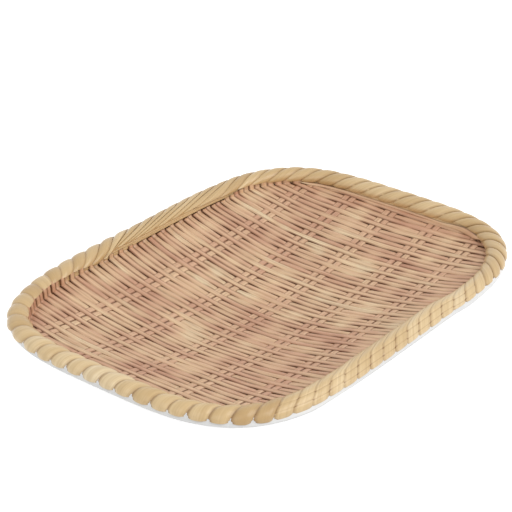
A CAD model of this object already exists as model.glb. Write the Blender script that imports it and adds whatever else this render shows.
import math
import random

import bmesh
import bpy
from mathutils import Matrix, Vector


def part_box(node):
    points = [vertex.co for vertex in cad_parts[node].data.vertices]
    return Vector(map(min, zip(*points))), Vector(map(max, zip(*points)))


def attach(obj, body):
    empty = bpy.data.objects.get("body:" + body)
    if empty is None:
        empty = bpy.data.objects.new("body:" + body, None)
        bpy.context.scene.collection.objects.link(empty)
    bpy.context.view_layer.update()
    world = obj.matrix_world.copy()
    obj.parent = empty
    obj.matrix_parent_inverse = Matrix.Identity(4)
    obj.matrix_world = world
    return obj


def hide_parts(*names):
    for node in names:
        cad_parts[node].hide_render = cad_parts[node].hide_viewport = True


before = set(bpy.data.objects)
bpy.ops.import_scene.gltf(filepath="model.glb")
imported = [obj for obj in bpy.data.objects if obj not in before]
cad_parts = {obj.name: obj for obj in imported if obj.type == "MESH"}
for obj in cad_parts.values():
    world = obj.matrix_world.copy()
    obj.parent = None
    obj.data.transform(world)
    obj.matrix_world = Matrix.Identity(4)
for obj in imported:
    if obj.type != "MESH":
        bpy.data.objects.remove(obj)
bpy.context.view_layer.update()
random.seed(7)

# Everything is in metres. The tray lies along X and stands on z = 0.
millimetre = 0.001

tray = {
    "cornerPower": 3.8,  # squareness of the outline: 2 is an ellipse
    "rimHalfWidth": 6.4 * millimetre,  # from its middle line in to the dish's edge
    "lipReach": 6.1 * millimetre,  # of the shell's lip, out from the rim's middle line
    "hoopDrop": 2 * millimetre,  # of the inner hoop, below the rim's middle
    "dishDepth": 16.6 * millimetre,
    "dishPower": 1.8,  # steepness of its sides
    "middlePower": 1.3,  # squareness of the dish near its middle
    "strandHalf": 0.4 * millimetre,  # from the solid strands' underside to the weave's middle layer
}

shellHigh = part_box("base_shell")[1]
middleHalfLength = shellHigh.x - tray["lipReach"]
middleHalfWidth = shellHigh.y - tray["lipReach"]
dishHalfLength = middleHalfLength - tray["rimHalfWidth"]
dishHalfWidth = middleHalfWidth - tray["rimHalfWidth"]
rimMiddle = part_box("rim_inner_hoop")[0].z + tray["hoopDrop"]
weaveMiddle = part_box("strand_3_front")[0].z + tray["strandHalf"]


def mix(a, b, share):
    return a + (b - a) * share


def smooth(low, high, value):
    share = min(max((value - low) / (high - low), 0), 1)
    return share * share * (3 - 2 * share)


# The dish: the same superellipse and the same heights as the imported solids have.
def outlineLevel(x, y, halfLength, halfWidth, power):
    return (abs(x / halfLength) ** power + abs(y / halfWidth) ** power) ** (1 / power)


def outlineReach(across, halfAcross, halfAlong):
    share = min(abs(across) / halfAcross, 1)
    return halfAlong * (1 - share ** tray["cornerPower"]) ** (1 / tray["cornerPower"])


def dishHeight(x, y):
    edge = min(outlineLevel(x, y, dishHalfLength, dishHalfWidth, tray["cornerPower"]), 1)
    power = mix(tray["middlePower"], tray["cornerPower"], edge)
    level = min(outlineLevel(x, y, dishHalfLength, dishHalfWidth, power), 1)
    return weaveMiddle + tray["dishDepth"] * level ** tray["dishPower"]


# The rim's middle line, as points at even steps of angle with the distance run to each.
outlineSteps = 1440


def middlePoint(angle):
    x, y = math.cos(angle), math.sin(angle)
    reach = 1 / outlineLevel(x, y, middleHalfLength, middleHalfWidth, tray["cornerPower"])
    return Vector((x * reach, y * reach))


outlinePoints = [middlePoint(2 * math.pi * step / outlineSteps) for step in range(outlineSteps + 1)]
outlineRun = [0]
for start, end in zip(outlinePoints, outlinePoints[1:]):
    outlineRun.append(outlineRun[-1] + (end - start).length)
rimLength = outlineRun[-1]


def outwardAt(point):
    power = tray["cornerPower"] - 1
    x = math.copysign(abs(point.x / middleHalfLength) ** power, point.x) / middleHalfLength
    y = math.copysign(abs(point.y / middleHalfWidth) ** power, point.y) / middleHalfWidth
    return Vector((x, y)).normalized()


def rimPoint(run):
    run %= rimLength
    low, high = 0, outlineSteps
    while high - low > 1:
        half = (low + high) // 2
        low, high = (half, high) if outlineRun[half] <= run else (low, half)
    share = (run - outlineRun[low]) / (outlineRun[high] - outlineRun[low])
    return outlinePoints[low].lerp(outlinePoints[high], share)


def onRim(run, outwards, upwards):
    point = rimPoint(run)
    place = point + outwardAt(point) * outwards
    return Vector((place.x, place.y, rimMiddle + upwards))


def runAt(x, y):
    angle = math.atan2(y, x) / (2 * math.pi) % 1
    return outlineRun[round(angle * outlineSteps)]


# The rim changes on its way round. Its values are in millimetres, save for the last six.
plainRim = {
    "shift": 0,  # of the whole bundle, outwards
    "inner": 6.2,  # half width of the bundle's inner side
    "top": 4.7,  # height of the bundle's inner side
    "climb": 0,  # of the weave's ends, up the inner side
    "lip": 0,  # of the shell's lip, outwards
    "lipDepth": 4.8,  # of the lip, below the rim's middle
    "slip": 0,  # of the turns, on along the rim
    "slideOut": 5,  # how far a turn of cane runs on along the rim, from the top to its outer end
    "slideIn": 9,  # and from the top to its inner end, the other way
    "crown": 0.6,  # of a turn
    "tuck": 0.45,  # how far a turn's far edge drops under the next turn
    "crease": 0,  # depth of the folds that run across the turns' outer side
    "innerEnd": -1.4,  # height at which a turn stops inside
    "outerEnd": -0.2,  # and outside
    "lipTop": -3,  # where the lip ends, in degrees round the section
    "bulge": 2.2,  # squareness of a turn's crown
    "tip": 0.1,  # share of the turn over which its outer end is rounded
    "tipWidth": 0.75,  # what is left of its width there
    "seam": 0.6,  # darkness of the seams
    "tone": 0.4,  # of the cane, from dark to pale
}

# What differs from it in each part of the rim.
rightEnd = dict(inner=7.3, innerEnd=-2.1, slideOut=6, slideIn=8, crown=0.7, tuck=0.5, tone=0.48)
farLeft = dict(climb=1.2, slideOut=12, slideIn=34, crown=0.35, innerEnd=1.5, seam=0.4)
leftCorner = dict(slideOut=1, slideIn=3, crown=0.7, innerEnd=2, climb=6.6, shift=0.3)
nearLeft = dict(slideOut=2, slideIn=7, crown=1.1, tuck=0.7, seam=1, innerEnd=-0.5)
nearLeft.update(lipTop=24, tip=0.14, tipWidth=0.83, tone=0.55)
nearRight = dict(slideOut=7, slideIn=33, crown=0.2, bulge=7, tuck=0.25, crease=0.22, innerEnd=1.5)
nearRight.update(lipTop=8, tip=0.07, tipWidth=0.85, seam=0.5, tone=0.65)
frontCorner = dict(nearRight, lip=1.2, shift=-0.3, inner=7, top=5.2, slideIn=12, outerEnd=-1)
nearMiddle = dict(nearRight, lip=-1.8, lipDepth=3.6, shift=-2.3, inner=7.8, top=5.9, outerEnd=0)
rightCorner = dict(nearRight, lip=0.2, lipDepth=4.4, shift=-0.4, inner=6.6, top=5, outerEnd=1)

# Where it changes, as shares of the way round from the +X end, anticlockwise.
rimChanges = [
    (0.00, dict(rightEnd, tone=0.4)),
    (0.03, dict(rightEnd, tone=0.5)),
    (0.08, dict(climb=2.6, slideIn=9, crown=0.7, tuck=0.5)),
    (0.13, dict(climb=4, shift=0.3, slideOut=8, slideIn=16, crown=0.45, innerEnd=0.2)),
    (0.17, dict(farLeft, shift=-1, inner=7.4, slideIn=44, seam=0.3)),
    (0.21, dict(farLeft, shift=-1.4, inner=7.2, slideIn=48, seam=0.3)),
    (0.25, dict(farLeft, shift=-1.9, inner=6.8)),
    (0.28, dict(climb=2.8, shift=-1.9, slideOut=8, slideIn=13, crown=0.9, tuck=0.6, innerEnd=-1.2)),
    (0.32, dict(climb=5.4, shift=-1, slideOut=4, slideIn=8, crown=0.85, innerEnd=1.1)),
    (0.36, leftCorner),
    (0.40, dict(leftCorner, shift=1.2, crown=0.9)),
    (0.44, dict(nearLeft, climb=1.5, shift=0.5, lip=0.6, slip=4, slideIn=4, innerEnd=0, tone=0.75)),
    (0.50, dict(nearLeft, lip=0.7, slip=3, tone=0.75)),
    (0.54, dict(nearLeft, lip=0.7, slip=3, tone=0.6)),
    (0.58, dict(nearLeft, lip=0.7, slip=0.5, tone=0.65)),
    (0.61, dict(nearLeft, lip=1.2, shift=0.3, inner=6.6, slideOut=4, slideIn=9, outerEnd=-0.8, tone=0.3)),
    (0.635, dict(frontCorner, crown=0.35, tone=0.5)),
    (0.67, dict(nearRight, lip=-0.8, shift=-1.6, inner=7.4, top=5.6, lipDepth=4)),
    (0.70, nearMiddle),
    (0.78, nearMiddle),
    (0.815, dict(rightCorner, lipTop=18, slideIn=18)),
    (0.85, dict(lip=0.6, shift=0.2, outerEnd=1.2, lipTop=18, slideOut=7, slideIn=12, tone=0.5)),
    (0.88, dict(inner=6.4, slideOut=6, climb=0.5)),
    (0.93, dict(climb=1, innerEnd=0.8, slideOut=6, slideIn=8, tone=0.2, crown=0.7, tuck=0.5)),
    (0.965, rightEnd),
]
rimLooks = [(share, dict(plainRim, **changes)) for share, changes in rimChanges]
rimLooks.append((1, rimLooks[0][1]))


def rimAt(run):
    share = run / rimLength % 1
    for (start, low), (end, high) in zip(rimLooks, rimLooks[1:]):
        if share <= end:
            part = smooth(start, end, share)
            return {name: mix(low[name], high[name], part) for name in low}


# Mesh helpers. A sheet is a grid, bent into place point by point, that may then be given a thickness.
# Each point also keeps its place along and across its strip, the strip's seed and a shade: up to 1
# the shade darkens the strip's edges, and from 1 to 2 it draws a dark line.
pointLayers = ("along", "across", "seed", "shade")
sharpAngle = math.radians(50)
weldDistance = 0.01 * millimetre


def newMesh():
    bm = bmesh.new()
    for name in pointLayers:
        bm.verts.layers.float.new(name)
    return bm


def addSheet(bm, alongSteps, acrossSteps, place, thickness=0, seed=0.0):
    layers = [bm.verts.layers.float[name] for name in pointLayers]
    grid = bmesh.ops.create_grid(bm, x_segments=acrossSteps, y_segments=alongSteps, size=1)
    points = grid["verts"]
    faces = list({face for point in points for face in point.link_faces})
    for point in points:
        across, along = point.co.x, (point.co.y + 1) / 2
        point.co, run, shade = place(along, across)
        for layer, value in zip(layers, (run / millimetre, across, seed, shade)):
            point[layer] = value
    bmesh.ops.recalc_face_normals(bm, faces=faces)
    if thickness:
        if sum(face.normal.z * face.calc_area() for face in faces) < 0:
            bmesh.ops.reverse_faces(bm, faces=faces)
        bm.normal_update()
        drops = [point.normal * thickness for point in points]
        bmesh.ops.extrude_face_region(bm, geom=faces, use_keep_orig=True)
        for point, drop in zip(points, drops):
            point.co -= drop


# Joins a sheet's ends where it runs right round.
def weldSheet(bm):
    bmesh.ops.remove_doubles(bm, verts=bm.verts[:], dist=weldDistance)
    bmesh.ops.recalc_face_normals(bm, faces=bm.faces[:])


def makePiece(name, bm, slot, nodes, *materials):
    mesh = bpy.data.meshes.new(name)
    bm.to_mesh(mesh)
    bm.free()
    for material in materials:
        mesh.materials.append(material)
    mesh.shade_smooth()
    mesh.set_sharp_from_angle(angle=sharpAngle)
    piece = bpy.data.objects.new(name, mesh)
    bpy.context.scene.collection.objects.link(piece)
    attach(piece, "root")
    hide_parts(*nodes)


# Colours are written as they look, from 0 to 255, and turned into linear light by the sRGB curve.
def colour(red, green, blue):
    def linear(value):
        value /= 255
        return value / 12.92 if value <= 0.04045 else ((value + 0.055) / 1.055) ** 2.4

    return (linear(red), linear(green), linear(blue), 1)


# Node helpers. Each adds a node to a tree, fed by sockets or plain values.
def addNode(tree, kind, inputs=None, **settings):
    node = tree.nodes.new(kind)
    for name, value in settings.items():
        setattr(node, name, value)
    for name, value in (inputs or {}).items():
        if isinstance(value, bpy.types.NodeSocket):
            tree.links.new(value, node.inputs[name])
        else:
            node.inputs[name].default_value = value
    return node


def mathOf(tree, operation, *values):
    return addNode(tree, "ShaderNodeMath", dict(enumerate(values)), operation=operation).outputs[0]


def spreadOf(tree, value, low, high, toLow, toHigh):
    settings = {"Value": value, "From Min": low, "From Max": high, "To Min": toLow, "To Max": toHigh}
    return addNode(tree, "ShaderNodeMapRange", settings).outputs["Result"]


def mixColour(tree, share, first, second):
    inputs = {0: share, 6: first, 7: second}
    return addNode(tree, "ShaderNodeMix", inputs, data_type="RGBA").outputs[2]


def noiseOf(tree, place, scale, detail, roughness=0.5):
    stretched = addNode(tree, "ShaderNodeMapping", {"Vector": place, "Scale": scale}).outputs[0]
    inputs = {"Vector": stretched, "Scale": 1.0, "Detail": detail, "Roughness": roughness}
    return addNode(tree, "ShaderNodeTexNoise", inputs).outputs[0]


def roughnessOf(tree, noise, middle, spread):
    return spreadOf(tree, noise, 0, 1, middle - spread, middle + spread)


def bumpOf(tree, height, strength, distance):
    inputs = {"Height": height, "Strength": strength, "Distance": distance}
    return addNode(tree, "ShaderNodeBump", inputs).outputs["Normal"]


def addRamp(tree, factor, stops):
    ramp = addNode(tree, "ShaderNodeValToRGB", {"Fac": factor})
    elements = ramp.color_ramp.elements
    while len(elements) < len(stops):
        elements.new(0.5)
    for element, (position, value) in zip(elements, stops):
        element.position = position
        element.color = value
    return ramp.outputs["Color"]


# Grain of a split strip, which runs along it: fine fibres, broader streaks and slow blotches of tone.
grain = {
    "seedStep": 61.7,  # how far off in the noise a strip's grain is taken, for each 1 of its seed
    "noises": {  # the scales across, along and between strips, then detail and roughness
        "Fibre": ((2.4, 0.05, 1), 3, 0.6),
        "Streak": ((0.9, 0.03, 1), 2, 0.5),
        "Blotch": ((0.12, 0.03, 1), 2, 0.5),
    },
    "fibreLevels": (0.45, 0.75),  # of the noise, where fibres start to show and show in full
    "streakLevels": (0.35, 0.7),
    "blotchLevels": (0.3, 0.7),
    "zoneLevels": (0.35, 0.65),
    "zoneDetail": 2.0,
    "roughnessSpread": 0.08,
    "coatRoughness": 0.22,
    "fibreBump": 0.5,  # height of the fibres beside that of the streaks
    "bumpDistance": 0.2 * millimetre,
}


def makeStripGrain():
    group = bpy.data.node_groups.new("stripGrain", "ShaderNodeTree")
    for name in ("Along", "Across", "Seed", "Width", "Inset"):
        group.interface.new_socket(name, in_out="INPUT", socket_type="NodeSocketFloat")
    for name in ("Fibre", "Streak", "Blotch", "Edge"):
        group.interface.new_socket(name, in_out="OUTPUT", socket_type="NodeSocketFloat")
    start = group.nodes.new("NodeGroupInput").outputs
    end = group.nodes.new("NodeGroupOutput").inputs
    offset = mathOf(group, "MULTIPLY", start["Seed"], grain["seedStep"])
    side = mathOf(group, "MULTIPLY", start["Across"], start["Width"])
    axes = {"X": side, "Y": start["Along"], "Z": offset}
    place = addNode(group, "ShaderNodeCombineXYZ", axes).outputs[0]
    for name, (scale, detail, roughness) in grain["noises"].items():
        group.links.new(noiseOf(group, place, scale, detail, roughness), end[name])
    away = mathOf(group, "ABSOLUTE", start["Across"])
    span = {"Value": away, "From Min": start["Inset"], "From Max": 1.0}
    edge = addNode(group, "ShaderNodeMapRange", span, interpolation_type="SMOOTHSTEP")
    group.links.new(edge.outputs["Result"], end["Edge"])
    return group


stripGrain = makeStripGrain()


def addGrain(tree, read, look):
    inputs = {part: read[part] for part in ("Along", "Across", "Seed")}
    inputs.update(Width=look["halfWidth"], Inset=look["inset"])
    return addNode(tree, "ShaderNodeGroup", inputs, node_tree=stripGrain).outputs


# A strip's tone comes from its seed, its blotches, its zone of the tray, and its seams where they fade.
def addTone(tree, seed, shade, noises, look):
    place = addNode(tree, "ShaderNodeTexCoord").outputs["Object"]
    zones = noiseOf(tree, place, look["zoneScale"], grain["zoneDetail"])
    zone = spreadOf(tree, zones, *grain["zoneLevels"], -look["zone"], look["zone"])
    blotch = spreadOf(tree, noises["Blotch"], *grain["blotchLevels"], -look["blotch"], look["blotch"])
    patch = mathOf(tree, "ADD", zone, blotch)
    seeded = mathOf(tree, "ADD", seed, patch)
    paler = spreadOf(tree, shade, 0, 1, look["paler"], 0)
    return mathOf(tree, "ADD", seeded, paler)


# Over its tone lie the streaks, the fibres, the dark edges and the lines of the folds.
def addStripColour(tree, tone, read, shade, noises, look):
    base = addRamp(tree, tone, look["tones"])
    streak = spreadOf(tree, noises["Streak"], *grain["streakLevels"], 0, look["streak"])
    streaked = mixColour(tree, streak, base, look["streakColour"])
    fibre = spreadOf(tree, noises["Fibre"], *grain["fibreLevels"], 0, look["fibre"])
    fibred = mixColour(tree, fibre, streaked, look["edgeColour"])
    fold = spreadOf(tree, read["Shade"], 1, 2, 0, 1)
    dark = mathOf(tree, "MULTIPLY_ADD", noises["Edge"], shade, fold)
    edged = mathOf(tree, "MULTIPLY", dark, look["edge"])
    return mixColour(tree, edged, fibred, look["edgeColour"])


def makeStripMaterial(name, look):
    material = bpy.data.materials.new(name)
    material.use_nodes = True
    tree = material.node_tree
    shader = tree.nodes["Principled BSDF"].inputs
    read = {
        part: addNode(tree, "ShaderNodeAttribute", attribute_name=part.lower()).outputs["Fac"]
        for part in ("Along", "Across", "Seed", "Shade")
    }
    noises = addGrain(tree, read, look)
    shade = mathOf(tree, "MINIMUM", read["Shade"], 1.0)
    tone = addTone(tree, read["Seed"], shade, noises, look)
    tree.links.new(addStripColour(tree, tone, read, shade, noises, look), shader["Base Color"])
    rough = roughnessOf(tree, noises["Streak"], look["roughness"], grain["roughnessSpread"])
    tree.links.new(rough, shader["Roughness"])
    height = mathOf(tree, "MULTIPLY_ADD", noises["Fibre"], grain["fibreBump"], noises["Streak"])
    tree.links.new(bumpOf(tree, height, look["bump"], grain["bumpDistance"]), shader["Normal"])
    shader["Coat Weight"].default_value = look["coat"]
    shader["Coat Roughness"].default_value = grain["coatRoughness"]
    return material


splintLook = {
    "halfWidth": 1.9,  # of the strip, for its grain, in millimetres
    "tones": [
        (0.0, colour(186, 134, 105)),
        (0.3, colour(211, 163, 132)),
        (0.55, colour(228, 187, 151)),
        (0.8, colour(237, 203, 162)),
        (1.0, colour(245, 222, 182)),
    ],
    "zoneScale": (45, 30, 45),
    "zone": 0.17,  # how far the tone changes from one zone of the tray to another
    "blotch": 0.22,  # and along a strip
    "paler": 0.24,  # how far it rises where the strip's seams fade
    "streakColour": colour(172, 120, 90),
    "streak": 0.46,
    "fibre": 0.28,
    "edgeColour": colour(120, 76, 46),
    "edge": 1.0,
    "inset": 0.34,  # share of the half width at which the dark edge starts
    "roughness": 0.45,
    "coat": 0,
    "bump": 0.35,
}

strandLook = dict(splintLook, halfWidth=1.8, inset=0.6)

caneLook = {
    "halfWidth": 5.0,
    "tones": [
        (0.0, colour(185, 149, 97)),
        (0.35, colour(210, 178, 126)),
        (0.7, colour(231, 203, 155)),
        (1.0, colour(243, 222, 182)),
    ],
    "zoneScale": (20, 20, 20),
    "zone": 0.1,
    "blotch": 0.12,
    "paler": 0,
    "streakColour": colour(189, 156, 105),
    "streak": 0.4,
    "fibre": 0.2,
    "edgeColour": colour(148, 110, 66),
    "edge": 0.8,
    "inset": 0.62,
    "roughness": 0.38,
    "coat": 0.35,
    "bump": 0.4,
}

hoopLook = dict(caneLook, halfWidth=4.0, edge=0, streak=0.5)

splintBamboo = makeStripMaterial("splintBamboo", splintLook)
strandBamboo = makeStripMaterial("strandBamboo", strandLook)
rimCane = makeStripMaterial("rimCane", caneLook)
hoopBamboo = makeStripMaterial("hoopBamboo", hoopLook)


# The shell is glossy white outside. Its inside, seen only through the weave, is a brown lining.
whiteLook = {
    "dark": colour(226, 226, 226),
    "pale": colour(234, 233, 230),
    "scale": 60.0,
    "roughness": 0.28,
    "spread": 0.05,
    "bump": 0.05,
}

liningLook = {
    "dark": colour(168, 120, 88),
    "pale": colour(188, 138, 102),
    "scale": 120.0,
    "roughness": 0.7,
    "spread": 0.1,
    "bump": 0.2,
}

cloud = {
    "detail": 4.0,
    "levels": (0.3, 0.7),  # of the noise, where the material is darkest and palest
    "bumpDistance": 0.1 * millimetre,
}


def makeCloudyMaterial(name, look):
    material = bpy.data.materials.new(name)
    material.use_nodes = True
    tree = material.node_tree
    shader = tree.nodes["Principled BSDF"].inputs
    place = addNode(tree, "ShaderNodeTexCoord").outputs["Object"]
    inputs = {"Vector": place, "Scale": look["scale"], "Detail": cloud["detail"]}
    noise = addNode(tree, "ShaderNodeTexNoise", inputs).outputs[0]
    low, high = cloud["levels"]
    tone = addRamp(tree, noise, [(low, look["dark"]), (high, look["pale"])])
    tree.links.new(tone, shader["Base Color"])
    tree.links.new(roughnessOf(tree, noise, look["roughness"], look["spread"]), shader["Roughness"])
    tree.links.new(bumpOf(tree, noise, look["bump"], cloud["bumpDistance"]), shader["Normal"])
    return material


whiteShell = makeCloudyMaterial("whiteShell", whiteLook)
brownLining = makeCloudyMaterial("brownLining", liningLook)
print("materials made")


# The shell, as one sheet of rings: the dish's inside, the lip and the underside with its foot ring.
shell = {
    "drop": 1 * millimetre,  # of its inside face, below the weave's middle layer
    "wall": 2.4 * millimetre,
    "ledge": -1.5 * millimetre,  # how far in from the rim's middle line its flat ledge ends
    "ledgeUnder": (-3 * millimetre, 1.4 * millimetre),  # how far in and down its underside starts
    "lipHalfWidth": 6.1 * millimetre,
    "lipWall": 1 * millimetre,
    "lipStart": -65,  # where the lip begins, in degrees round the rim's section
    "lipOut": -45,  # where it has moved out in full
    "lipTuck": 0.8 * millimetre,  # how far its top draws in behind the cane
    "lipTuckStart": -25,
    "lipTuckEnd": -3,  # here the lip has also taken on the bundle's own shift
    "lipSteps": 11,
    "footLength": 176 * millimetre,
    "footWidth": 118 * millimetre,
    "footWall": 4 * millimetre,
    "footRound": 0.8 * millimetre,
    "footCut": 0.3,  # of the rounding, which its middle point stands in
    "underShares": (0.85, 0.7, 0.55, 0.4, 0.25, 0.1),  # rings of points on the underside
    "underClose": 0.03,  # and how close one stands to the foot ring, either side
    "liningReach": 1.06,  # how far out the lining goes, beside the dish
    "liningDepth": 0.2 * millimetre,  # how far below the ledge the lip's inside is lined
    "liningFacing": 0.3,  # how far a lined face has to look upwards or inwards
    "stations": 260,
    "dishRings": 14,
}
ledgeLevel = weaveMiddle + tray["dishDepth"] - shell["drop"] - rimMiddle
shellRuns = [outlineRun[round(i * outlineSteps / shell["stations"])] for i in range(shell["stations"])]
shellRuns.append(0)
shellLooks = [rimAt(run) for run in shellRuns]
dishEdge = [onRim(run, -tray["rimHalfWidth"], 0) for run in shellRuns]


def shellTop(x, y):
    return dishHeight(x, y) - shell["drop"]


def shellUnder(x, y):
    return shellTop(x, y) - shell["wall"]


def dishRing(halfLength, halfWidth, height):
    ring = []
    for point in dishEdge:
        x, y = point.x * halfLength / dishHalfLength, point.y * halfWidth / dishHalfWidth
        ring.append(Vector((x, y, height(x, y))))
    return ring


def rimRing(outwards, upwards):
    return [onRim(run, outwards, upwards) for run in shellRuns]


def lipRing(inset, share):
    ring = []
    for run, look in zip(shellRuns, shellLooks):
        degrees = mix(shell["lipStart"], look["lipTop"], share)
        angle = math.radians(degrees)
        outwards = (shell["lipHalfWidth"] - inset) * math.cos(angle)
        outwards -= shell["lipTuck"] * smooth(shell["lipTuckStart"], shell["lipTuckEnd"], degrees)
        outset = look["lip"] * smooth(shell["lipStart"], shell["lipOut"], degrees)
        away = mix(outset, look["shift"], smooth(shell["lipOut"], shell["lipTuckEnd"], degrees))
        upwards = (look["lipDepth"] * millimetre - inset) * math.sin(angle)
        ring.append(onRim(run, outwards + away * millimetre, upwards))
    return ring


def insideRings():
    shares = [ring / shell["dishRings"] for ring in range(shell["dishRings"] + 1)]
    rings = [dishRing(dishHalfLength * share, dishHalfWidth * share, shellTop) for share in shares]
    return rings + [rimRing(shell["ledge"], ledgeLevel)]


def lipRings():
    shares = [step / shell["lipSteps"] for step in range(shell["lipSteps"] + 1)]
    inner = [lipRing(shell["lipWall"], share) for share in shares]
    outer = [lipRing(0, share) for share in reversed(shares)]
    return inner + outer


def undersideRings():
    inwards, downwards = shell["ledgeUnder"]
    rings = [rimRing(inwards, ledgeLevel - downwards)]
    halfLength, halfWidth = shell["footLength"] / 2, shell["footWidth"] / 2
    wall, corner = shell["footWall"], shell["footRound"]
    innerLength, innerWidth = halfLength - wall, halfWidth - wall
    cut = shell["footCut"] * corner

    def cornerAt(x, y):
        return shellUnder(x, y) - corner

    for share in (1, *shell["underShares"], shell["underClose"]):
        length, width = mix(halfLength, dishHalfLength, share), mix(halfWidth, dishHalfWidth, share)
        rings.append(dishRing(length, width, shellUnder))
    rings.append(dishRing(halfLength, halfWidth, cornerAt))
    foot = [(0, corner), (cut, cut), (corner, 0), (wall - corner, 0), (wall - cut, cut), (wall, corner)]
    for inset, height in foot:
        rings.append(dishRing(halfLength - inset, halfWidth - inset, lambda x, y: height))
    rings.append(dishRing(innerLength, innerWidth, cornerAt))
    for share in (1 - shell["underClose"], *shell["underShares"], 0):
        rings.append(dishRing(innerLength * share, innerWidth * share, shellUnder))
    return rings


def paintLining(bm):
    ledge = rimMiddle + ledgeLevel - shell["liningDepth"]
    for face in bm.faces:
        middle = face.calc_center_median()
        level = outlineLevel(middle.x, middle.y, dishHalfLength, dishHalfWidth, tray["cornerPower"])
        dished = face.normal.z > shell["liningFacing"] and level < shell["liningReach"]
        inwards = face.normal.xy.dot(outwardAt(middle.xy)) < -shell["liningFacing"]
        if dished or (level > 1 and middle.z > ledge and inwards):
            face.material_index = 1


def makeShell():
    bm = newMesh()
    rings = insideRings() + lipRings() + undersideRings()

    def place(along, across):
        ring = rings[round(along * (len(rings) - 1))]
        return ring[round((across + 1) / 2 * shell["stations"])], 0, 0

    addSheet(bm, len(rings) - 1, shell["stations"], place)
    weldSheet(bm)
    paintLining(bm)
    print("shell:", len(bm.faces), "faces")
    makePiece("shell", bm, "white_shell", ["base_shell"], whiteShell, brownLining)


# The weave: in each folded splint one leg goes over all the rows of strands and the other under them.
weave = {
    "rowPitch": 31 * millimetre,
    "rowHalf": 3.9 * millimetre,
    "rowFull": 4.2 * millimetre,  # how far either side of a row's middle a leg keeps its full lift
    "rowReach": 14.5 * millimetre,  # how far from it the leg is back between its neighbours
    "dive": 0.65 * millimetre,  # how far an under leg drops below the strands themselves
    "diveZone": (0.8, 1.4),  # half widths of a row at which it starts to rise again and has risen
    "thickness": 0.45 * millimetre,
    "spread": 4.1 * millimetre,  # between the two legs of a folded splint
    "crown": 0.42 * millimetre,
    "widths": (0.97, 1.02),  # shares of its width that a leg may have
    "over": {
        "lift": 0.2 * millimetre,
        "width": 4.05 * millimetre,
        "pinch": 0.05 * millimetre,
        "tones": (0.41, 0.69),
    },
    "under": {
        "lift": -0.15 * millimetre,
        "width": 4.08 * millimetre,
        "pinch": 0.25 * millimetre,
        "tones": (0.27, 0.61),
    },
    "cells": 8,  # stretches of a leg between rows, each with seams of its own
    "seamNear": (0.7, 1),  # darkness of the seams beside the rows
    "seamMidway": (0.15, 0.95),  # and midway between them, as a share of that
    "seamZone": (8 * millimetre, 14.5 * millimetre),  # from a row, where the one turns into the other
    "fade": 0.7,  # how far the seams fade in patches of the weave
    "fadeLevels": (0.1, 1.6),  # of the waves, where the fading starts and is full
    "fadeWaves": ((130, 55, 0.4, 1), (-83, 97, 1.9, 1), (171, 148, 4.2, 0.7)),
    "drift": 0.35 * millimetre,  # of neighbouring splints together
    "driftWaves": ((40, 66, 0.7, 1), (-31, 118, 2.1, 0.7)),
    "wander": 0.12 * millimetre,  # of each on its own
    "wanderWaves": ((40, 31, 0, 1), (97, 73, 0, 0.6)),
    "tuck": 2.6 * millimetre,  # how far the legs' ends stop short of the rim's middle line
    "trimReach": 30 * millimetre,  # length of a leg over which its end is cut to the outline
    "wallTuck": 1.6,  # as tuck, where they climb, back from the bundle's inner side, in millimetres
    "wallSkin": 0.6,  # how far under the bundle's top they lie, in millimetres
    "wallBy": 1 * millimetre,  # height of climb at which they stand at the wall in full
    "leanLimit": 0.97,  # share of the wall's height above which they lean no further
    "bend": 1.2 * millimetre,  # roundness of the bend there
    "hoopNear": 2.5 * millimetre,  # the hoop presses the under legs down as a row does
    "hoopReach": 11 * millimetre,
    "hoopStand": 0.85,  # how much of a row's drop it gives them
    "hoopDive": 0.15 * millimetre,
    "hoopSeam": 0.7,  # darkness of the seams there
    "bunching": 0.5,  # how far the steps along a leg draw together towards its ends
    "alongSteps": 132,
    "acrossSteps": 6,
}
weaveHalfLength = middleHalfLength - weave["tuck"]
weaveHalfWidth = middleHalfWidth - weave["tuck"]
pairPitch = 2 * weave["spread"]


def rowAway(y):
    return abs(y - weave["rowPitch"] * round(y / weave["rowPitch"]))


# Waves are given by what x and y are multiplied by, where they start and how high they are.
def wavesAt(waves, x, y):
    return sum(height * math.sin(byX * x + byY * y + start) for byX, byY, start, height in waves)


def driftAt(x, y):
    return weave["drift"] * wavesAt(weave["driftWaves"], x, y)


def wanderAt(seed, y):
    return weave["wander"] * wavesAt(weave["wanderWaves"], seed, y)


def seamDarkness():
    near = random.uniform(*weave["seamNear"])
    return near, near * random.uniform(*weave["seamMidway"])


def seamAt(seams, x, y):
    near, midway = seams[math.floor(y / weave["rowPitch"]) % len(seams)]
    seam = mix(near, midway, smooth(*weave["seamZone"], rowAway(y)))
    return seam * (1 - weave["fade"] * smooth(*weave["fadeLevels"], wavesAt(weave["fadeWaves"], x, y)))


def softRamp(value):
    return (value + math.hypot(value, weave["bend"])) / 2


# How far out a leg reaches at one of its ends, how high it climbs there, and the wall that it climbs.
def legEnd(x, side):
    look = rimAt(runAt(x, side * outlineReach(x, middleHalfLength, middleHalfWidth)))
    climb = look["climb"] * millimetre
    wallTuck = (look["inner"] - weave["wallTuck"] - look["shift"]) * millimetre
    tuck = mix(weave["tuck"], wallTuck, smooth(0, weave["wallBy"], climb))
    wall = look["inner"] - weave["wallTuck"], look["top"] - weave["wallSkin"]
    return outlineReach(x, middleHalfLength - tuck, middleHalfWidth - tuck), climb, wall


# How far a leg has leant outwards where it lies so high on the bundle's inner side.
def leanAt(height, wall):
    halfWidth, halfHeight = wall
    share = min(max((height - rimMiddle) / (halfHeight * millimetre), 0), weave["leanLimit"])
    return halfWidth * millimetre * (1 - math.sqrt(1 - share * share))


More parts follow.
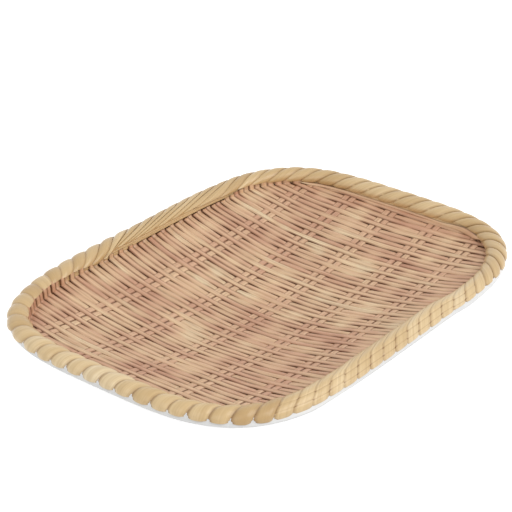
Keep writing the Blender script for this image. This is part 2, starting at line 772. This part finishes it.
def trimAt(x, centre, left):
    trim = outlineReach(x, weaveHalfLength, weaveHalfWidth)
    trim -= outlineReach(centre, weaveHalfLength, weaveHalfWidth)
    return trim * (1 - min(left / weave["trimReach"], 1))


# How far a leg is pushed from its middle layer, up or down, and what share of a row's push that is.
def pushAt(look, y, hooped):
    stand = 1 - smooth(weave["rowFull"], weave["rowReach"], rowAway(y))
    if look["lift"] > 0:
        return look["lift"] * stand, stand
    stand = max(stand, weave["hoopStand"] * hooped)
    push = look["lift"] * stand - weave["hoopDive"] * hooped
    push -= weave["dive"] * (1 - smooth(*weave["diveZone"], rowAway(y) / weave["rowHalf"]))
    return push, stand


def addLeg(bm, centre, look):
    seed = random.uniform(*look["tones"])
    width = look["width"] * random.uniform(*weave["widths"])
    seams = [seamDarkness() for cell in range(weave["cells"])]
    nearReach, nearClimb, nearWall = legEnd(centre, -1)
    farReach, farClimb, farWall = legEnd(centre, 1)
    length = nearClimb + nearReach + farReach + farClimb

    def place(along, across):
        run = length * mix(along, (1 - math.cos(math.pi * along)) / 2, weave["bunching"])
        if run < length / 2:
            side, reach, climb, left, wall = -1, nearReach, nearClimb, run, nearWall
        else:
            side, reach, climb, left, wall = 1, farReach, farClimb, length - run, farWall
        trim = trimAt(centre + across * width / 2, centre, left)
        y = side * (reach + trim - softRamp(left - climb))
        upright = smooth(-weave["bend"], weave["bend"], climb - left) * smooth(0, weave["bend"], climb)
        hooped = 1 - smooth(weave["hoopNear"], weave["hoopReach"], left - climb)
        raised, stand = pushAt(look, y, hooped)
        half = (width - look["pinch"] * stand) / 2
        x = centre + across * half + (driftAt(centre, y) + wanderAt(seed, y)) * (1 - upright)
        raised += weave["thickness"] / 2 + weave["crown"] * (1 - across * across)
        height = dishHeight(x, y) + softRamp(climb - left) + raised * (1 - upright)
        seam = max(seamAt(seams, centre, y), weave["hoopSeam"] * hooped)
        y += side * (leanAt(height, wall) - raised * upright)
        return Vector((x, y, height)), run, seam

    addSheet(bm, weave["alongSteps"], weave["acrossSteps"], place, weave["thickness"], seed)


# A strip that lies against the hoop along an end of the tray, where the splints run beside it.
endStrip = {
    "half": 74 * millimetre,
    "low": (-0.8, -3.6),  # of its lower edge, from the bundle's inner side, in millimetres
    "high": (0.3, -2.1),  # of its upper edge
    "below": 0.5,  # how far under the turns' inner ends that may lie, in millimetres
    "swell": 0.2,
    "taper": 0.08,  # share of the strip over which each end narrows
    "thickness": 0.3 * millimetre,
    "seam": 0.8,
    "tone": 0.75,
    "alongSteps": 40,
    "acrossSteps": 4,
}


def addEndStrip(bm, endRun):
    (lowOut, lowUp), (highOut, highest) = endStrip["low"], endStrip["high"]

    def place(along, across):
        run = endRun + (2 * along - 1) * endStrip["half"]
        look = rimAt(run)
        highUp = max(highest, look["innerEnd"] - endStrip["below"])
        narrow = smooth(0, endStrip["taper"], min(along, 1 - along))
        share = mix(1, (across + 1) / 2, narrow)
        swell = endStrip["swell"] * (1 - across * across)
        outwards, upwards = mix(lowOut, highOut, share) - swell, mix(lowUp, highUp, share) + swell
        outwards += look["shift"] - look["inner"]
        return onRim(run, outwards * millimetre, upwards * millimetre), run, endStrip["seam"]

    steps = endStrip["alongSteps"], endStrip["acrossSteps"]
    addSheet(bm, *steps, place, endStrip["thickness"], endStrip["tone"])


def makeSplints():
    names = sorted(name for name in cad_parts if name.startswith("splint_"))
    centres = []
    for name in names:
        low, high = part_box(name)
        centre = (low.x + high.x) / 2
        centres.append(centre)
        bm = newMesh()
        addLeg(bm, centre + weave["spread"] / 2, weave["over"])
        addLeg(bm, centre - weave["spread"] / 2, weave["under"])
        if abs(centre) > dishHalfLength - pairPitch:
            addEndStrip(bm, 0 if centre > 0 else rimLength / 2)
        makePiece("folded_" + name, bm, "splint_bamboo", [name], splintBamboo)
    return min(centres) - weave["spread"] / 2


strands = {
    "thickness": 0.3 * millimetre,
    "crown": 0.25 * millimetre,
    "wave": 0.12 * millimetre,  # how far they rise over each under leg
    "seam": 0.8,
    "tones": (0.38, 0.54),
    "alongSteps": 300,
    "acrossSteps": 4,
}


def makeStrands(underStart):
    names = sorted(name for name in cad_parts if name.startswith("strand_"))
    for name in names:
        low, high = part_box(name)
        centre, width = (low.y + high.y) / 2, high.y - low.y
        bm = newMesh()

        def place(along, across):
            y = centre + across * width / 2
            x = (2 * along - 1) * outlineReach(y, weaveHalfWidth, weaveHalfLength)
            turn = 2 * math.pi * (x - driftAt(x, y) - underStart) / pairPitch
            raised = strands["wave"] * math.cos(turn) + strands["thickness"] / 2
            raised += strands["crown"] * (1 - across * across)
            return Vector((x, y, dishHeight(x, y) + raised)), x, strands["seam"]

        steps = strands["alongSteps"], strands["acrossSteps"]
        addSheet(bm, *steps, place, strands["thickness"], random.uniform(*strands["tones"]))
        makePiece("long_" + name, bm, "strand_bamboo", [name], strandBamboo)


makeShell()
makeStrands(makeSplints())
print("shell and weave made")


# The cane, wound round the rim a turn at a time, each turn's far edge under the next turn.
wrap = {
    "pitch": 11.04 * millimetre,
    "thickness": 0.5 * millimetre,
    "skin": 0.5,  # how far the bundle stands in from its own half width, in millimetres
    "outerHalfWidth": 5.5,
    "outerHalfHeight": 4.2,
    "innerZone": (math.radians(40), math.radians(100)),  # where that changes to the inner side's height
    "overlap": 0.07,  # share of a turn's pitch that lies under the next turn
    "phase": 0.95,  # of a turn, to the middle of the first turn
    "stray": 0.4,  # of a turn's slide, in millimetres
    "toneStray": 0.12,
    "crowns": (0.9, 1.1),  # shares of its crown that a turn may have
    "crownPower": 0.8,
    "tuckStart": 0.2,  # where a turn starts to drop, as a share of its half width
    "creases": (72, 36),  # where the folds run, in degrees round the section
    "creaseStray": 9,  # degrees for each millimetre that the turn itself strays
    "creaseHalf": 9,  # half width of a fold, in degrees
    "creaseShade": 6.8,  # shade of a fold, for each millimetre of its depth
    "grainLength": 20 * millimetre,  # of the grain along one turn
    "alongSteps": 48,
    "acrossSteps": 12,
}


# The share of its width that a turn keeps near its rounded outer end.
def tipAt(look, along):
    toEnd = min(1, (1 - along) / look["tip"])
    return max(look["tipWidth"], math.sqrt(1 - (1 - toEnd) ** 2))


# Where along the rim a point of a turn lies, once its ends have slid along.
def slideTo(nominal, angle, stray):
    look = rimAt(nominal)
    inwards = (look["slideIn"] + stray) * max(0, 2 * angle / math.pi - 1)
    outwards = (look["slideOut"] + stray) * max(0, math.cos(angle))
    return nominal + (look["slip"] + inwards - outwards) * millimetre


def foldAt(look, angle, stray):
    degrees = math.degrees(angle) + wrap["creaseStray"] * stray
    away = min(abs(degrees - crease) for crease in wrap["creases"])
    return look["crease"] * (1 - smooth(0, wrap["creaseHalf"], away))


def addTurn(bm, run, length):
    look = rimAt(run)
    seed = look["tone"] + random.uniform(-wrap["toneStray"], wrap["toneStray"])
    stray = random.uniform(-wrap["stray"], wrap["stray"])
    innerAngle = math.pi - math.asin(look["innerEnd"] / (look["top"] - wrap["skin"]))
    outerAngle = math.asin(look["outerEnd"] / wrap["outerHalfHeight"])
    crown = look["crown"] * random.uniform(*wrap["crowns"])
    half = length / 2 * (1 + wrap["overlap"])

    def place(along, across):
        angle = mix(innerAngle, outerAngle, along)
        where = slideTo(run + across * half * tipAt(look, along), angle, stray)
        here = rimAt(where)
        fold = foldAt(look, angle, stray)
        rise = crown * (1 - abs(across) ** look["bulge"]) ** wrap["crownPower"]
        rise -= look["tuck"] * smooth(wrap["tuckStart"], 1, across)
        rise -= fold
        halfWidth = here["inner"] - wrap["skin"] if math.cos(angle) < 0 else wrap["outerHalfWidth"]
        inside = smooth(*wrap["innerZone"], angle)
        halfHeight = mix(wrap["outerHalfHeight"], here["top"] - wrap["skin"], inside)
        outwards = math.cos(angle) * (halfWidth + rise) + here["shift"]
        upwards = math.sin(angle) * (halfHeight + rise)
        point = onRim(where, outwards * millimetre, upwards * millimetre)
        return point, along * wrap["grainLength"], max(look["seam"], wrap["creaseShade"] * fold)

    addSheet(bm, wrap["alongSteps"], wrap["acrossSteps"], place, wrap["thickness"], seed)


def makeWrap():
    count = round(rimLength / wrap["pitch"])
    quarters = ["back_right", "back_left", "front_left", "front_right"]
    meshes = {quarter: newMesh() for quarter in quarters}
    for turn in range(count):
        quarter = quarters[int(turn / count * len(quarters))]
        addTurn(meshes[quarter], (turn + wrap["phase"]) / count * rimLength, rimLength / count)
    for quarter, bm in meshes.items():
        makePiece("cane_" + quarter, bm, "rim_cane", ["rim_wrap_" + quarter], rimCane)
    print("wrap:", count, "turns")


# The two hoops and the core, as rings round the rim. Their sections are closed and in millimetres.
rimRings = {
    "stations": 320,
    "tone": 0.45,
    "grainHalf": 3 * millimetre,  # height over which the grain runs from the middle to an edge
}

innerHoop = {
    "back": 1.45,  # from the bundle's inner side to the hoop's face
    "giveWay": 0.9,  # further back where the weave climbs in front of it
    "giveWayBy": 2,  # height of climb at which it stands back in full
    "rise": (0.8, 2.4),  # its lower edge rises with the weave up to the first climb, not from the second
    "depth": 1.8,
    "low": -3,
    "high": 2.4,
    "lean": 1,  # how much further in its lower edge lies
    "swell": 0.3,
    "groove": 0.2,
    "grooves": (0.25, 0.5, 0.75),  # where they run, as shares of its height
    "steps": 16,
}

outerHoop = {"inside": 3.2, "outside": 4.5, "low": -1.5, "high": 2}

coreRod = {"halfWidth": 2.4, "halfHeight": 2.8, "sides": 16}


def innerHoopSection(look):
    climb = look["climb"]
    low = innerHoop["low"] + climb * (1 - smooth(*innerHoop["rise"], climb))
    high = innerHoop["high"]
    face = innerHoop["back"] + innerHoop["giveWay"] * smooth(0, innerHoop["giveWayBy"], climb)
    face -= look["inner"]
    section = [(face + innerHoop["depth"], high), (face + innerHoop["depth"], low)]
    for step in range(innerHoop["steps"] + 1):
        share = step / innerHoop["steps"]
        height = mix(low, high, share)
        lean = innerHoop["lean"] * (high - height) / (innerHoop["high"] - innerHoop["low"])
        swell = innerHoop["swell"] * math.sin(math.pi * share)
        groove = innerHoop["groove"] if share in innerHoop["grooves"] else 0
        section.append((face - lean - swell + groove, height))
    return section + section[:1]


def outerHoopSection(look):
    inside, outside, low, high = (outerHoop[name] for name in ("inside", "outside", "low", "high"))
    return [(inside, low), (outside, low), (outside, high), (inside, high), (inside, low)]


def coreSection(look):
    angles = [step / coreRod["sides"] * 2 * math.pi for step in range(coreRod["sides"] + 1)]
    return [(coreRod["halfWidth"] * math.cos(a), coreRod["halfHeight"] * math.sin(a)) for a in angles]


def makeRing(name, sectionOf, slot, node):
    bm = newMesh()
    stations = rimRings["stations"]
    runs = [rimLength * station / stations for station in range(stations + 1)]
    looks = [rimAt(run) for run in runs]
    sections = [sectionOf(look) for look in looks]
    count = len(sections[0])

    def place(along, across):
        station = round((across + 1) / 2 * stations)
        outwards, upwards = sections[station][round(along * (count - 1))]
        outwards += looks[station]["shift"]
        return onRim(runs[station], outwards * millimetre, upwards * millimetre), runs[station], 0

    addSheet(bm, count - 1, stations, place, 0, rimRings["tone"])
    weldSheet(bm)
    across = bm.verts.layers.float["across"]
    for point in bm.verts:
        point[across] = (point.co.z - rimMiddle) / rimRings["grainHalf"]
    makePiece(name, bm, slot, [node], hoopBamboo)


makeWrap()
makeRing("inner_hoop", innerHoopSection, "hoop_bamboo", "rim_inner_hoop")
makeRing("outer_hoop", outerHoopSection, "hoop_bamboo", "rim_outer_hoop")
makeRing("core_rod", coreSection, "core_bamboo", "rim_core_rod")
print("rim made")


# Camera at the photo's angle, in a square frame of 512 pixels.
camera = {
    "azimuth": -52.58,  # in degrees
    "elevation": 29.34,
    "distance": 0.9287,
    "aim": Vector((0, 0, 0.0063)),
    "roll": 0.011,  # in radians
    "lens": 116.2,  # in millimetres, as is the sensor's width
    "sensor": 36,
    "shift": (-0.0228, 0.1036),
    "clip": (0.01, 20),
}


def makeCamera():
    data = bpy.data.cameras.new("camera")
    data.lens = camera["lens"]
    data.sensor_width = camera["sensor"]
    data.shift_x, data.shift_y = camera["shift"]
    data.clip_start, data.clip_end = camera["clip"]
    eye = bpy.data.objects.new("camera", data)
    bpy.context.scene.collection.objects.link(eye)
    azimuth, elevation = math.radians(camera["azimuth"]), math.radians(camera["elevation"])
    level = math.cos(elevation)
    back = Vector((math.sin(azimuth) * level, -math.cos(azimuth) * level, math.sin(elevation)))
    turn = (-back).to_track_quat("-Z", "Y").to_matrix() @ Matrix.Rotation(camera["roll"], 3, "Z")
    eye.matrix_world = Matrix.Translation(camera["aim"] + back * camera["distance"]) @ turn.to_4x4()
    bpy.context.scene.camera = eye


lights = {
    "key": {"from": (0.35, -1.15, 1.15), "size": 1.3, "power": 12},
    "fill": {"from": (-1.2, -0.2, 0.9), "size": 1.2, "power": 4},
    "sky": 0.6,
}


def makeLight(name, settings):
    data = bpy.data.lights.new(name, "AREA")
    data.shape = "SQUARE"
    data.size = settings["size"]
    data.energy = settings["power"]
    lamp = bpy.data.objects.new(name, data)
    bpy.context.scene.collection.objects.link(lamp)
    place = Vector(settings["from"])
    aimed = (-place).to_track_quat("-Z", "Y").to_matrix().to_4x4()
    lamp.matrix_world = Matrix.Translation(place) @ aimed


# 1 where a camera, glossy or transmission ray looks, 0 where light is gathered.
def addSeen(tree):
    path = addNode(tree, "ShaderNodeLightPath").outputs
    seen = mathOf(tree, "MAXIMUM", path["Is Camera Ray"], path["Is Glossy Ray"])
    return mathOf(tree, "MAXIMUM", seen, path["Is Transmission Ray"])


def makeSky():
    world = bpy.data.worlds.new("studio")
    world.use_nodes = True
    tree = world.node_tree
    tree.nodes.clear()
    strength = spreadOf(tree, addSeen(tree), 0, 1, lights["sky"], 1)
    sky = addNode(tree, "ShaderNodeBackground", {"Color": (1, 1, 1, 1), "Strength": strength})
    output = addNode(tree, "ShaderNodeOutputWorld")
    tree.links.new(sky.outputs[0], output.inputs["Surface"])
    bpy.context.scene.world = world


floor = {"halfSize": 6, "paint": colour(235, 235, 235), "glow": 0.72}


def makeFloor():
    bm = bmesh.new()
    bmesh.ops.create_grid(bm, x_segments=1, y_segments=1, size=floor["halfSize"])
    mesh = bpy.data.meshes.new("floor")
    bm.to_mesh(mesh)
    bm.free()
    material = bpy.data.materials.new("floorPaint")
    material.use_nodes = True
    tree = material.node_tree
    tree.nodes.clear()
    paint = addNode(tree, "ShaderNodeBsdfDiffuse", {"Color": floor["paint"]})
    strength = spreadOf(tree, addSeen(tree), 0, 1, 0, floor["glow"])
    glow = addNode(tree, "ShaderNodeEmission", {"Strength": strength})
    both = addNode(tree, "ShaderNodeAddShader", {0: paint.outputs[0], 1: glow.outputs[0]})
    output = addNode(tree, "ShaderNodeOutputMaterial")
    tree.links.new(both.outputs[0], output.inputs["Surface"])
    mesh.materials.append(material)
    ground = bpy.data.objects.new("floor", mesh)
    bpy.context.scene.collection.objects.link(ground)


makeCamera()
makeLight("key", lights["key"])
makeLight("fill", lights["fill"])
makeSky()
makeFloor()
bpy.context.scene.view_settings.view_transform = "Standard"
print("camera, lights and floor made")
